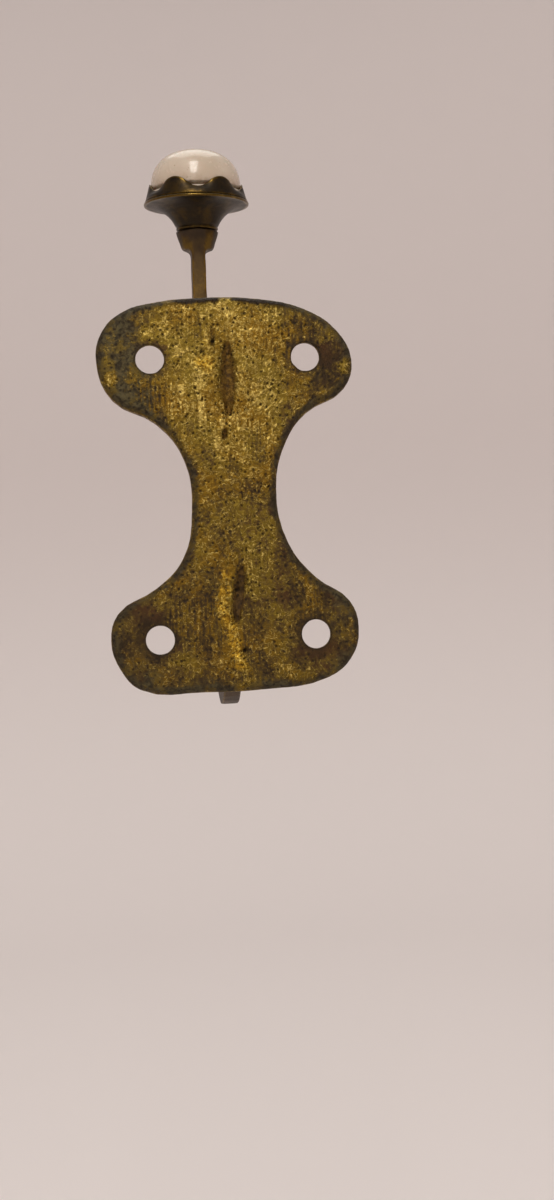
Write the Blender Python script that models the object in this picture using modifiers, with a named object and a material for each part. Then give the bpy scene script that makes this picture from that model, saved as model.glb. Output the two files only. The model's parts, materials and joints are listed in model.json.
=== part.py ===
"""Cast-brass hat and coat hook with a porcelain knob.

The origin is on the flat wall face of the back plate, at the middle of its four screw holes.
+Z is up, the wall is on the +Y side and the hook stands out from it towards -Y.
A flat scrollwork arm is tenoned through the plate. It carries a straight bar whose end turns up,
leaning back a little, to the hat knob, and a C-shaped coat hook below it. The knob is a white
porcelain dome held in a sheet-brass bezel with six petals, on a flared brass base, and it screws
into the arm's boss.
Every length below is in millimetres and is turned into metres by mm().
"""

import math

import bmesh
import bpy
from mathutils import Matrix

# Back plate
PLATE_THICK = 3.0
PLATE_CHAMFER = 0.7
HOLE_X = 12.0
HOLE_Z = 21.5
HOLE_R = 2.1
COUNTERSINK_R = 4.0
COUNTERSINK_DEEP = 1.9
# Going round as seen from the front: upper right lobe, domed top, upper left lobe, left waist,
# lower left lobe, nearly flat bottom, lower right lobe, right waist.
PLATE_OUTLINE = [
    (20.3, 21.3), (19.2, 26.2), (15.8, 29.2), (11.0, 30.5),
    (4.0, 31.1), (-5.4, 30.8), (-12.0, 29.3),
    (-17.0, 26.0), (-19.4, 21.0), (-18.0, 16.5),
    (-12.0, 12.9), (-8.6, 8.4), (-6.8, 1.5), (-8.4, -7.3), (-12.4, -12.6),
    (-17.6, -16.5), (-18.9, -21.0), (-17.5, -25.6), (-13.8, -28.4),
    (-3.4, -29.8), (5.3, -29.9), (15.4, -29.0),
    (18.3, -25.8), (19.6, -21.5), (18.4, -17.2),
    (12.2, -13.4), (8.2, -9.2), (6.5, -2.0), (7.4, 6.0), (11.5, 11.6), (18.0, 15.4),
]

# Scroll arm: a flat casting in the X = 0 plane. "Out" is the distance from the wall.
ARM_THICK = 3.0
GAP = 0.3
ARM_ROOT_OUT = PLATE_THICK + GAP
TENON_THICK = 2.2
TENON_TALL = 5.6
TENON_END_OUT = 0.15
BAR_Z = 16.5
BAR_ROOT_WIDE = 6.6
BAR_WIDE = 8.0
ROOT_FLARE = 1.8
ROOT_FOOT = 0.4
ELBOW_R = 17.0
RISER_WIDE = 6.4
SCROLL_OUT = 30.0
SCROLL_Z = -14.2
SCROLL_R = 19.5
HOLLOW_R = 14.8
HOLLOW_SHIFT_OUT = 1.2
HOLLOW_SHIFT_Z = 0.4
LOBE_OUT = 37.0
LOBE_Z = 0.9
LOBE_R = 4.0
LOBE_SHOULDER = (39.4, 5.9)
TIP_OUT = 42.9
TIP_Z = -19.1
TIP_R = 4.6
HEEL_OUT = 39.7
HEEL_Z = -23.7
HEEL_R = 6.9
HEEL_DEEP = 3.2
WEB_OUT = 32.9
WEB_WIDE = 6.0
WEB_FLARE = 1.0
WEB_FLARE_TALL = 3.5
BUMP_OUT = 25.6
BUMP_R = 3.2
BUMP_TOP_Z = 10.9
NUB_Z = -17.5
NUB_WIDE = 6.6
OVERLAP = 1.5

# Knob. Its rim's centre and its lean back towards the wall, in degrees, place it. Every height
# below is measured along the knob's own axis, up from the plane of its rim.
KNOB_OUT = 74.5
KNOB_Z = 70.9
KNOB_LEAN = 8.0
RIM_R = 11.3
LIP = 0.3
NECK_R = 4.0
FLARE_DEEP = 7.3
BASE_LOW = -5.2
BOSS_HIGH = BASE_LOW - GAP
BOSS_LOW = -9.6
BOSS_TOP_R = 4.3
BOSS_FOOT_R = 3.5
STUD_R = 1.5
STUD_LOW = -8.5
STUD_HIGH = 3.8
STUD_CHAMFER = 0.4
BEZEL_LOW = LIP + GAP
BEZEL_SHEET = 0.5
BEZEL_INSET = 0.2
BEZEL_TOP_R = 10.45
BEZEL_HIGH = 3.3
PETALS = 6
PETAL_LIFT = 1.0
PETAL_ROOT = 1.7
NUT_FLATS = 5.0
NUT_TALL = 2.0
CEMENT_TALL = 1.0
DOME_SHOULDER = 3.6
DOME_HIGH = 11.4
DOME_R = 9.55
DOME_FULLNESS = 2.5
DOME_FOOT_CHAMFER = 0.5
POCKET_R = 3.6

ROUND_STEPS = 32
FINE_STEPS = 48
BORE_R = STUD_R + GAP
LEAN = math.radians(KNOB_LEAN)


def mm(value):
    return value / 1000.0


def metal(name, colour, roughness, metallic=1.0):
    material = bpy.data.materials.new(name)
    material.use_nodes = True
    shader = material.node_tree.nodes["Principled BSDF"]
    shader.inputs["Base Color"].default_value = (*colour, 1.0)
    shader.inputs["Roughness"].default_value = roughness
    shader.inputs["Metallic"].default_value = metallic
    return material


def collection(name, hidden=False):
    made = bpy.data.collections.new(name)
    made.hide_render = hidden
    bpy.context.scene.collection.children.link(made)
    return made


def add_object(name, mesh, group):
    obj = bpy.data.objects.new(name, mesh)
    group.objects.link(obj)
    return obj


def clean(bm):
    bmesh.ops.remove_doubles(bm, verts=bm.verts, dist=0.00001)
    bmesh.ops.dissolve_degenerate(bm, edges=bm.edges, dist=0.00001)
    bmesh.ops.recalc_face_normals(bm, faces=bm.faces)


def arc(centre, radius, start, end, steps):
    """Points on a circle in the (out, z) plane, from one angle in degrees to another."""
    turn = [math.radians(start + (end - start) * i / steps) for i in range(steps + 1)]
    return [(centre[0] + radius * math.cos(a), centre[1] + radius * math.sin(a)) for a in turn]


def slab(name, points, thick, matrix, group, smooth_points=0, chamfer=0.0):
    """A flat closed outline given a thickness, as a welded mesh. With smooth_points the outline
    is a Bezier curve through the points, and otherwise it is straight from point to point."""
    curve = bpy.data.curves.new(name, "CURVE")
    curve.dimensions = "2D"
    curve.fill_mode = "BOTH"
    curve.extrude = mm(thick) / 2 - mm(chamfer)
    curve.bevel_depth = mm(chamfer)
    curve.bevel_resolution = 0
    curve.offset = -mm(chamfer)
    kind = "BEZIER" if smooth_points else "POLY"
    spline = curve.splines.new(kind)
    if smooth_points:
        curve.resolution_u = smooth_points
        spline.bezier_points.add(len(points) - 1)
        for knot, (x, y) in zip(spline.bezier_points, points):
            knot.co = (mm(x), mm(y), 0)
            knot.handle_left_type = knot.handle_right_type = "AUTO"
    else:
        spline.points.add(len(points) - 1)
        for knot, (x, y) in zip(spline.points, points):
            knot.co = (mm(x), mm(y), 0, 1)
    spline.use_cyclic_u = True
    source = bpy.data.objects.new(name + "_outline", curve)
    bpy.context.scene.collection.objects.link(source)
    graph = bpy.context.evaluated_depsgraph_get()
    mesh = bpy.data.meshes.new_from_object(source.evaluated_get(graph))
    bpy.data.objects.remove(source)
    bm = bmesh.new()
    bm.from_mesh(mesh)
    clean(bm)
    bm.to_mesh(mesh)
    bm.free()
    mesh.transform(matrix)
    mesh.update()
    return add_object(name, mesh, group)


def turned(name, profile, group, steps=ROUND_STEPS):
    """A profile of (radius, z) points turned about the Z axis with a Screw modifier. Its points
    run down the outer side. It closes on itself unless both its ends are on the axis."""
    mesh = bpy.data.meshes.new(name)
    verts = [(mm(r), 0, mm(z)) for r, z in profile]
    edges = [(i, i + 1) for i in range(len(profile) - 1)]
    if profile[0][0] > 0:
        edges.append((len(profile) - 1, 0))
    mesh.from_pydata(verts, edges, [])
    obj = add_object(name, mesh, group)
    screw = obj.modifiers.new("turn", "SCREW")
    screw.steps = steps
    screw.render_steps = steps
    screw.use_merge_vertices = True
    screw.merge_threshold = 0.00001
    return obj


def applied(obj):
    """The same object with its modifiers made part of its mesh."""
    graph = bpy.context.evaluated_depsgraph_get()
    mesh = bpy.data.meshes.new_from_object(obj.evaluated_get(graph))
    obj.modifiers.clear()
    obj.data = mesh
    return obj


def as_cutter(obj):
    obj.hide_render = True
    obj.display_type = "WIRE"
    return obj


def boolean(obj, other, operation):
    step = obj.modifiers.new(f"{operation.lower()} {other.name}", "BOOLEAN")
    step.operation = operation
    step.object = other
    step.solver = "EXACT"


def finish(obj, material, smooth_angle=35.0):
    obj.data.materials.clear()
    obj.data.materials.append(material)
    obj.data.shade_smooth()
    obj.data.set_sharp_from_angle(angle=math.radians(smooth_angle))


# Outline (x, z) laid upright: local +Y becomes +Z, and the slab's thickness lies along Y.
FACING_WALL = Matrix.Rotation(math.radians(90), 4, "X")
# Outline (out, z) laid in the X = 0 plane: local +X becomes -Y, local +Y becomes +Z.
SIDE_ON = Matrix(((0, 0, 1, 0), (-1, 0, 0, 0), (0, 1, 0, 0), (0, 0, 0, 1)))


def box(name, out, z, tall, thick, group):
    """A block centred on X = 0, between two distances out from the wall."""
    mesh = bpy.data.meshes.new(name)
    bm = bmesh.new()
    middle = -mm(out[0] + out[1]) / 2
    size = Matrix.Diagonal((mm(thick), mm(out[1] - out[0]), mm(tall), 1))
    bmesh.ops.create_cube(bm, size=1, matrix=Matrix.Translation((0, middle, mm(z))) @ size)
    bm.to_mesh(mesh)
    bm.free()
    return add_object(name, mesh, group)


def make_plate(parts, cutters, brass):
    centre = Matrix.Translation((0, -mm(PLATE_THICK) / 2, 0))
    plate = slab(
        "back_plate", PLATE_OUTLINE, PLATE_THICK, centre @ FACING_WALL, parts,
        smooth_points=4, chamfer=PLATE_CHAMFER,
    )
    # A screw hole: local +Z points out of the front of the plate.
    sink_start = PLATE_THICK - COUNTERSINK_DEEP
    past = 1.0
    wider = COUNTERSINK_R + past * (COUNTERSINK_R - HOLE_R) / COUNTERSINK_DEEP
    hole = [
        (0, PLATE_THICK + past),
        (wider, PLATE_THICK + past),
        (HOLE_R, sink_start),
        (HOLE_R, -past),
        (0, -past),
    ]
    for side_x in (-1, 1):
        for side_z in (-1, 1):
            cutter = turned(f"hole_{side_x}_{side_z}", hole, cutters, steps=28)
            cutter.location = (mm(HOLE_X) * side_x, 0, mm(HOLE_Z) * side_z)
            cutter.rotation_euler = (math.radians(90), 0, 0)
            boolean(plate, as_cutter(cutter), "DIFFERENCE")
    for name, z in (("upper", BAR_Z), ("lower", NUB_Z)):
        slot = box(
            f"{name}_slot", (-1.0, PLATE_THICK + 1.0), z, TENON_TALL + 2 * GAP,
            TENON_THICK + 2 * GAP, cutters,
        )
        boolean(plate, as_cutter(slot), "DIFFERENCE")
    finish(plate, brass)
    return plate


def along_knob(height, aside=0.0):
    """The (out, z) of a point on the knob's axis at a height, or a distance outward of the axis."""
    out = KNOB_OUT - height * math.sin(LEAN) + aside * math.cos(LEAN)
    z = KNOB_Z + height * math.cos(LEAN) + aside * math.sin(LEAN)
    return out, z


def bar_outline():
    """The bar, its elbow and the riser in one band. The bar is flared where it meets the plate and
    widens a little towards the elbow, and the riser narrows again towards the knob. The elbow is
    placed so that the riser runs up along the knob's axis."""
    root = BAR_ROOT_WIDE / 2
    wide = BAR_WIDE / 2
    slim = RISER_WIDE / 2
    elbow_z = BAR_Z + ELBOW_R
    reach = (ELBOW_R - (KNOB_Z - elbow_z) * math.sin(LEAN)) / math.cos(LEAN)
    elbow = (KNOB_OUT - reach, elbow_z)
    turn_end = 360 + KNOB_LEAN
    top = BOSS_LOW + OVERLAP / 2
    foot = ARM_ROOT_OUT + ROOT_FOOT + ROOT_FLARE
    under = [(ARM_ROOT_OUT, BAR_Z - root - ROOT_FLARE)]
    under += arc((foot, BAR_Z - root - ROOT_FLARE), ROOT_FLARE, 180, 90, 4)
    under += arc(elbow, ELBOW_R + wide, 270, turn_end, 15)
    over = arc(elbow, ELBOW_R - wide, turn_end, 270, 13)
    over += arc((foot, BAR_Z + root + ROOT_FLARE), ROOT_FLARE, 270, 180, 4)
    over += [(ARM_ROOT_OUT, BAR_Z + root + ROOT_FLARE)]
    return under + [along_knob(top, slim), along_knob(top, -slim)] + over


def scroll_outline():
    """The C: an outer circle and a hollow set off its centre, so that the stroke is thickest
    beside the plate and thinner towards both ends."""
    lobe_turn = math.degrees(math.atan2(LOBE_Z - SCROLL_Z, LOBE_OUT - SCROLL_OUT))
    heel_turn = math.degrees(math.atan2(HEEL_Z - SCROLL_Z, HEEL_OUT - SCROLL_OUT)) + 360
    outer = arc((SCROLL_OUT, SCROLL_Z), SCROLL_R, lobe_turn, heel_turn, 32)
    hollow = (SCROLL_OUT + HOLLOW_SHIFT_OUT, SCROLL_Z + HOLLOW_SHIFT_Z)
    inner = arc(hollow, HOLLOW_R, heel_turn, lobe_turn, 28)
    return outer + inner


def tip_outline():
    """The C's free end: a blunt round tip that leans in a little, on a full round heel."""
    tip = arc((TIP_OUT, TIP_Z), TIP_R, 0, 180, 14)
    inner_foot = [(TIP_OUT - TIP_R, HEEL_Z - HEEL_DEEP)]
    heel = arc((HEEL_OUT, HEEL_Z), HEEL_R, 265, 345, 9)
    return tip + inner_foot + heel


def lobe_outline():
    """The C's upper end: a drop that hangs below the web, with a full outer shoulder."""
    drop = arc((LOBE_OUT, LOBE_Z), LOBE_R, 205, 385, 14)
    web_side = WEB_OUT + WEB_WIDE / 2
    inside_web_z = LOBE_SHOULDER[1] + 2 * OVERLAP
    return drop + [LOBE_SHOULDER, (web_side, inside_web_z), (web_side - 2 * OVERLAP, inside_web_z)]


def web_outline():
    """The web between the bar and the C, a little wider at the bar."""
    half = WEB_WIDE / 2
    low = LOBE_Z + OVERLAP
    high = BAR_Z - BAR_WIDE / 2 + OVERLAP
    neck = high - WEB_FLARE_TALL
    right = [(WEB_OUT + half, low), (WEB_OUT + half, neck), (WEB_OUT + half + WEB_FLARE, high)]
    left = [(WEB_OUT - half - WEB_FLARE, high), (WEB_OUT - half, neck), (WEB_OUT - half, low)]
    return right + left


def bump_outline():
    """The round bump that stands on the back of the C, under the bar."""
    centre = (BUMP_OUT, BUMP_TOP_Z - BUMP_R)
    inside_scroll_z = SCROLL_Z + SCROLL_R - 2 * OVERLAP
    foot = [(BUMP_OUT - BUMP_R, inside_scroll_z), (BUMP_OUT + BUMP_R, inside_scroll_z)]
    return arc(centre, BUMP_R, 0, 180, 12) + foot


def nub_outline():
    """The short block that joins the back of the C to the plate."""
    end = SCROLL_OUT - SCROLL_R + 2 * OVERLAP
    low, high = NUB_Z - NUB_WIDE / 2, NUB_Z + NUB_WIDE / 2
    return [(ARM_ROOT_OUT, low), (end, low), (end, high), (ARM_ROOT_OUT, high)]


def on_knob_axis(obj):
    """Puts an object that is turned about its own Z axis on the knob's leaning axis."""
    obj.location = (0, -mm(KNOB_OUT), mm(KNOB_Z))
    obj.rotation_euler = (-LEAN, 0, 0)
    return obj


def make_arm(parts, cutters, brass):
    arm = slab("scroll_arm", bar_outline(), ARM_THICK, SIDE_ON, parts)
    flat_pieces = {
        "scroll": scroll_outline(),
        "lobe": lobe_outline(),
        "tip": tip_outline(),
        "web": web_outline(),
        "bump": bump_outline(),
        "nub": nub_outline(),
    }
    for name, outline in flat_pieces.items():
        piece = slab(name, outline, ARM_THICK, SIDE_ON, cutters)
        boolean(arm, as_cutter(piece), "UNION")
    for name, z in (("upper", BAR_Z), ("lower", NUB_Z)):
        reach = (TENON_END_OUT, ARM_ROOT_OUT + OVERLAP)
        tenon = box(f"{name}_tenon", reach, z, TENON_TALL, TENON_THICK, cutters)
        boolean(arm, as_cutter(tenon), "UNION")
    boss_profile = [(0, BOSS_HIGH), (BOSS_TOP_R, BOSS_HIGH), (BOSS_FOOT_R, BOSS_LOW), (0, BOSS_LOW)]
    boss = on_knob_axis(turned("boss", boss_profile, cutters))
    boolean(arm, as_cutter(boss), "UNION")
    past = BOSS_HIGH + 1.0
    hole_low = STUD_LOW - GAP
    hole_profile = [(0, past), (BORE_R, past), (BORE_R, hole_low), (0, hole_low)]
    tapped = on_knob_axis(turned("tapped_hole", hole_profile, cutters, steps=24))
    boolean(arm, as_cutter(tapped), "DIFFERENCE")
    finish(arm, brass)
    return arm


def base_profile():
    """A trumpet: a quarter ellipse from just under the rim towards the neck, cut off at the foot,
    with a plain bore."""
    flare = []
    steps = 10
    cut = math.asin((FLARE_DEEP + BASE_LOW) / FLARE_DEEP)
    for i in range(steps + 1):
        a = math.radians(90) + (cut - math.radians(90)) * i / steps
        r = RIM_R - (RIM_R - NECK_R) * math.cos(a)
        flare.append((r, FLARE_DEEP * (math.sin(a) - 1) - LIP * math.sin(a)))
    flare[-1] = (flare[-1][0], BASE_LOW)
    return [(RIM_R - 0.2, LIP), (RIM_R, 0)] + flare + [(BORE_R, BASE_LOW), (BORE_R, LIP)]


def bezel_wall(height):
    """Outer radius of the bezel's wall, which leans in over the porcelain."""
    share = (height - BEZEL_LOW) / (BEZEL_HIGH - BEZEL_LOW)
    foot_r = RIM_R - BEZEL_INSET
    return foot_r + (BEZEL_TOP_R - foot_r) * share


def make_bezel(parts, brass):
    rows = 5
    step = (BEZEL_HIGH - PETAL_ROOT) / (rows - 1)
    heights = [BEZEL_HIGH - step * i for i in range(rows)]
    floor = BEZEL_LOW + BEZEL_SHEET
    outer = [(bezel_wall(h), h) for h in heights] + [(bezel_wall(BEZEL_LOW), BEZEL_LOW)]
    under = [(BORE_R, BEZEL_LOW), (BORE_R, floor), (bezel_wall(floor) - 2 * BEZEL_SHEET, floor)]
    inner = [(bezel_wall(h) - BEZEL_SHEET, h) for h in reversed(heights)]
    bezel = applied(turned("petal_bezel", outer + under + inner, parts, steps=FINE_STEPS))
    for vert in bezel.data.vertices:
        raised = vert.co.z - mm(PETAL_ROOT)
        if raised > 0:
            turn = math.atan2(vert.co.y, vert.co.x)
            share = raised / mm(BEZEL_HIGH - PETAL_ROOT)
            vert.co.z += mm(PETAL_LIFT) * share * math.cos(PETALS * turn)
    finish(bezel, brass)
    return bezel


def make_nut(low, parts, cutters, steel):
    mesh = bpy.data.meshes.new("knob_nut")
    bm = bmesh.new()
    corner = mm(NUT_FLATS) / math.sqrt(3)
    bmesh.ops.create_cone(
        bm, cap_ends=True, segments=6, radius1=corner, radius2=corner, depth=mm(NUT_TALL),
        matrix=Matrix.Translation((0, 0, mm(low + NUT_TALL / 2))),
    )
    bm.to_mesh(mesh)
    bm.free()
    nut = add_object("knob_nut", mesh, parts)
    above, below = low + NUT_TALL + 1.0, low - 1.0
    bore_profile = [(0, above), (BORE_R, above), (BORE_R, below), (0, below)]
    bore = on_knob_axis(turned("nut_bore", bore_profile, cutters, steps=24))
    boolean(nut, as_cutter(bore), "DIFFERENCE")
    finish(nut, steel)
    return nut


def cement_profile(low, high):
    """A ring that fills the bezel's floor between the nut and the wall."""
    edge = BEZEL_SHEET + GAP
    clear = NUT_FLATS / math.sqrt(3) + GAP
    outer = [(bezel_wall(high) - edge, high), (bezel_wall(low) - edge - DOME_FOOT_CHAMFER, low)]
    return outer + [(clear, low), (clear, high)]


def dome_profile(low, pocket_high):
    """Half of the porcelain dome, top to bottom: a full bun above the bezel, then the skirt that
    the bezel grips, and a pocket underneath for the nut and the stud's end."""
    height = DOME_HIGH - DOME_SHOULDER
    power = 2 / DOME_FULLNESS
    dome = [(0.0, DOME_HIGH)]
    steps = 11
    for i in range(1, steps + 1):
        a = math.radians(90 - 90 * i / steps)
        r = DOME_R * max(math.cos(a), 0.0) ** power
        dome.append((r, DOME_SHOULDER + height * math.sin(a) ** power))
    foot_r = bezel_wall(low) - BEZEL_SHEET - GAP
    foot = [(foot_r - 0.1, low + DOME_FOOT_CHAMFER), (foot_r - DOME_FOOT_CHAMFER, low)]
    return dome + foot + [(POCKET_R, low), (POCKET_R, pocket_high), (0, pocket_high)]


def main():
    for obj in list(bpy.data.objects):
        bpy.data.objects.remove(obj)
    parts = collection("hat_and_coat_hook")
    cutters = collection("cutters", hidden=True)

    cast_brass = metal("cast_brass", (0.42, 0.30, 0.10), 0.42)
    dark_brass = metal("dark_brass", (0.30, 0.20, 0.08), 0.38)
    steel = metal("steel", (0.42, 0.41, 0.39), 0.45)
    plaster = metal("plaster", (0.72, 0.68, 0.60), 0.9, metallic=0.0)
    porcelain = metal("porcelain", (0.82, 0.76, 0.66), 0.12, metallic=0.0)

    make_plate(parts, cutters, cast_brass)
    make_arm(parts, cutters, cast_brass)

    knob = on_knob_axis(bpy.data.objects.new("knob_axis", None))
    parts.objects.link(knob)

    stud_profile = [
        (0, STUD_HIGH), (STUD_R - STUD_CHAMFER, STUD_HIGH), (STUD_R, STUD_HIGH - STUD_CHAMFER),
        (STUD_R, STUD_LOW + STUD_CHAMFER), (STUD_R - STUD_CHAMFER, STUD_LOW), (0, STUD_LOW),
    ]
    stud = turned("knob_stud", stud_profile, parts, steps=24)
    finish(stud, steel)

    base = turned("knob_base", base_profile(), parts, steps=FINE_STEPS)
    finish(base, dark_brass)

    bezel = make_bezel(parts, dark_brass)

    bed_low = BEZEL_LOW + BEZEL_SHEET + GAP
    bed_high = bed_low + CEMENT_TALL
    nut = make_nut(bed_low, parts, cutters, steel)
    bed = turned("knob_cement", cement_profile(bed_low, bed_high), parts, steps=FINE_STEPS)
    finish(bed, plaster)

    pocket_high = STUD_HIGH + 2 * GAP
    dome = turned("porcelain_knob", dome_profile(bed_high + GAP, pocket_high), parts, steps=FINE_STEPS)
    finish(dome, porcelain)

    for piece in (stud, base, bezel, nut, bed, dome):
        piece.parent = knob


main()
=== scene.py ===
import json
import math

import bmesh
import bpy
import numpy as np
from mathutils import Matrix, Vector, kdtree, noise


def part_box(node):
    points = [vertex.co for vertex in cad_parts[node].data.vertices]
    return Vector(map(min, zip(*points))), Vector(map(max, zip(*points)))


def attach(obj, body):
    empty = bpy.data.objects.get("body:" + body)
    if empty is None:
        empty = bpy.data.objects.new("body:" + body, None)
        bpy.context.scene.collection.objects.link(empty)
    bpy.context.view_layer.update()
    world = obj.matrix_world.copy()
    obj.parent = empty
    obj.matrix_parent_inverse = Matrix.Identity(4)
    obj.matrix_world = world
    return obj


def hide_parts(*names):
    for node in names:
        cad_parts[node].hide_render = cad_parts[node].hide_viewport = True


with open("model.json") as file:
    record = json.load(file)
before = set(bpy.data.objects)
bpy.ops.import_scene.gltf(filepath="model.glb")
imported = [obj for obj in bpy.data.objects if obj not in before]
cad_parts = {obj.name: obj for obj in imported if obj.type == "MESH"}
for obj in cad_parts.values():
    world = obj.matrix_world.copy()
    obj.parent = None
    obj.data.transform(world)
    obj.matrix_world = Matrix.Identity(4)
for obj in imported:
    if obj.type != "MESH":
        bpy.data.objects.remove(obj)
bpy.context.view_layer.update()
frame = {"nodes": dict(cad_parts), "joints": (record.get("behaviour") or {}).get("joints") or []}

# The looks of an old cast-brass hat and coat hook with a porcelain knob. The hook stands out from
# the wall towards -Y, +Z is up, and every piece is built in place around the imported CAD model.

MM = 0.001
KNOB_AT = Vector(frame["joints"][0]["pos_m"])
KNOB_AXIS = Vector(frame["joints"][0]["axis"]).normalized()

# Camera: behind the hook, level with the plate, as a person holds a phone close to its back.
CAMERA_AT = Vector((13.69, 183.51, -18.82)) * MM
CAMERA_YAW = 6.14
CAMERA_PITCH = 0.86
CAMERA_ROLL = -2.31
CAMERA_LENS = 36.0
SENSOR_WIDE = 36.0

# Mesh detail
PLATE_VOXEL = 0.28 * MM
ARM_VOXEL = 0.30 * MM
ROUND_STEPS = 160

# The arm's two tenons, which come through slots in the plate and are hammered over at the back
TENON_Z = (16.5, -17.5)
SLOT_HALF_WIDE = 1.4
SLOT_HALF_TALL = 3.1
PEENED_DEEP = 0.9

# The plate's four screw holes
HOLE_X = 12.0
HOLE_Z = 21.5
HOLE_R = 2.1
HOLE_WALLS = 2.2  # vertices nearer than this to a hole's wall are not on the plate's outer wall

# The knob, measured as in the CAD model
RIM_LIP = 0.3
FLARE_DEEP = 7.3
NECK_R = 4.0
BORE_R = 1.8
BEZEL_SHEET = 0.5
BEZEL_LEAN = 1.10
BEZEL_TIP_SHEET = 0.30
CLOSE_UP = 0.14  # how far the base and the bezel reach into the CAD model's gaps
PETALS = 6
PETAL_LIFT = 1.0
DOME_TALL = 7.8
DOME_FULLNESS = 2.3
POCKET_R = 3.6

# The arm's boss under the knob: it is widened towards its top, and its foot is softened
BOSS_TALL = 4.1
BOSS_GROWS = 0.09
BOSS_BORE_R = 2.3
BOSS_REACH_R = 5.2
BOSS_SOFT_TALL = 2.2
BOSS_SOFT_R = 6.0
BOSS_SOFT_STEPS = 30

# Marks on the back of the plate, as strokes of (x, z, half width) in millimetres. The arm's two
# tenons end in the dark grooves, and rough bright metal was pushed up beside them by hammering.
GROOVES = {
    "upper": [(0.1, 23.6, 0.7), (0.1, 20.5, 1.6), (0.1, 17.0, 1.8), (0.1, 13.2, 0.7)],
    "upper slit": [(2.2, 26.0, 0.22), (2.2, 23.6, 0.22)],
    "upper end": [(0.9, 10.2, 0.6), (1.0, 9.2, 0.5)],
    "lower": [(-0.9, -10.8, 0.3), (-0.45, -13.4, 1.1), (-0.2, -15.8, 1.3), (0.3, -18.9, 0.7)],
}
RIDGES = {
    "upper inner": [
        (3.2, 23.0, 1.4), (3.0, 17.5, 1.6), (2.1, 13.0, 1.4), (1.7, 9.0, 1.2), (1.3, 6.0, 1.1),
    ],
    "upper outer": [
        (-2.6, 24.0, 1.5), (-2.6, 17.5, 1.7), (-1.5, 12.5, 1.6), (-1.6, 8.0, 1.5), (-2.3, 3.5, 1.0),
    ],
    "lower outer": [(-1.6, -7.6, 1.1), (-2.3, -12.0, 1.2), (-2.5, -15.5, 0.9)],
    "lower inner": [
        (0.3, -9.0, 0.9), (1.7, -12.2, 1.2), (2.1, -16.8, 1.2), (1.0, -20.0, 1.1),
        (0.3, -23.0, 1.2), (-0.7, -26.4, 0.9),
    ],
}
GROOVE_DEEP = 0.50
RIDGE_TALL = 0.12
RIDGE_LUMPS = 0.16
PORE_DEEP = 0.80

# Pores and patches on the back of the plate, as (x, z, radius) in millimetres. The patches are the
# coppery seam beside the lower groove with two more coppery spots, dark stains, grey-green bloom,
# and places rubbed yellow.
PORES = [
    (0.1, -14.2, 0.45), (-0.8, -23.6, 0.50), (2.2, 24.2, 0.40), (4.0, 22.6, 0.30),
    (-5.5, 1.5, 0.26),
]
COPPERY = [
    (3.6, 20.8, 1.9), (1.7, -12.2, 1.3), (2.1, -14.4, 1.4), (2.2, -16.6, 1.4), (1.8, -18.6, 1.4),
    (1.2, -20.4, 1.4), (0.8, -22.2, 1.4), (0.3, -24.0, 1.4), (-0.3, -25.8, 1.4), (-17.5, 14.5, 1.2),
]
STAINS = [
    (-16.4, 22.2, 2.4), (-14.6, 17.6, 2.0), (15.2, 27.0, 2.2), (16.4, 16.2, 2.2),
    (15.2, -17.6, 2.2), (9.0, -26.6, 1.8), (-0.3, -27.4, 0.9), (-9.0, 13.4, 1.6),
]
LICHEN = [(-17.0, -16.4, 3.0), (-15.5, -26.0, 2.0), (8.2, -24.0, 1.6), (13.5, -27.0, 2.0)]
YELLOW = [
    (-18.2, 19.6, 1.7), (18.4, 18.4, 1.8), (10.6, 26.0, 2.6), (8.2, 16.0, 2.4), (-18.4, -22.6, 1.6),
]

# Stage and light, in metres and watts. Each light is a name, a place, a size and a power.
FLOOR_Z = -0.32
FLOOR_FLAT_R = 0.95
FLOOR_BEND_R = 0.55
WALL_TALL = 1.9
WORLD_COLOUR = (1.0, 0.985, 0.97)
WORLD_STRENGTH = 0.37
LIGHTS = [
    ("key", (0.11, 0.98, 0.92), (0.38, 1.05), 11.0),
    ("overhead", (0.00, -0.50, 1.42), (1.10, 1.10), 6.0),
]
LIGHT_COLOUR = (1.0, 0.96, 0.90)
LIGHT_AIM = (0.0, -0.03, 0.02)


# ---------------------------------------------------------------- nodes

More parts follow.
